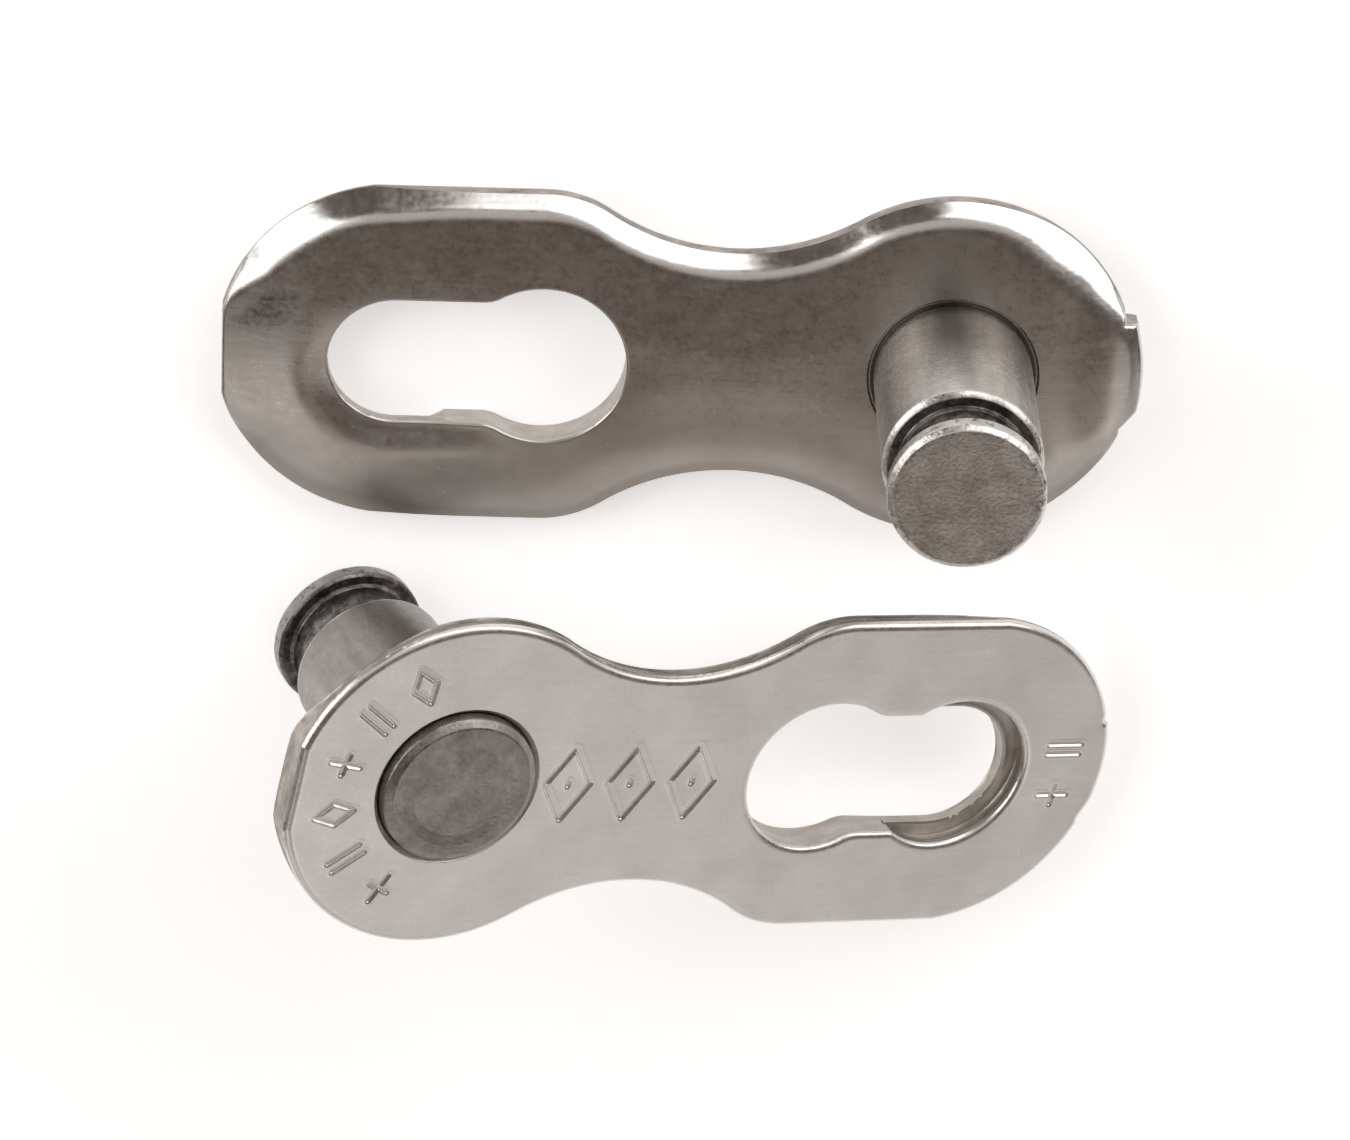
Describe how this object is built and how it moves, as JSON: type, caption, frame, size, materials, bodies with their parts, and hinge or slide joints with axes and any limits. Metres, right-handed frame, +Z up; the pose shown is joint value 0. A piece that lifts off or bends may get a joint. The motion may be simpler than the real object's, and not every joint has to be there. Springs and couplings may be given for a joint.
{
  "type": "chain connecting link",
  "caption": "Roller chain connecting link, taken apart into its halves: each is a waisted outer plate with a keyhole slot and a grooved pin riveted into it.",
  "frame": {"origin": "middle of the bounding box, on the surface that both halves lie on", "axes": "+Z up, +X along the plate of half A from its pin to its slot; half B lies beside it, towards +Y, with its pin end towards +X"},
  "size_m": [0.021, 0.018, 0.0086],
  "materials": {
    "nickel_plate": "satin",
    "pin_steel": "worn satin"
  },
  "bodies": {
    "root": {"outer_plate_a": "nickel_plate", "pin_a": "pin_steel", "outer_plate_b": "nickel_plate", "pin_b": "pin_steel"}
  },
  "joints": []
}
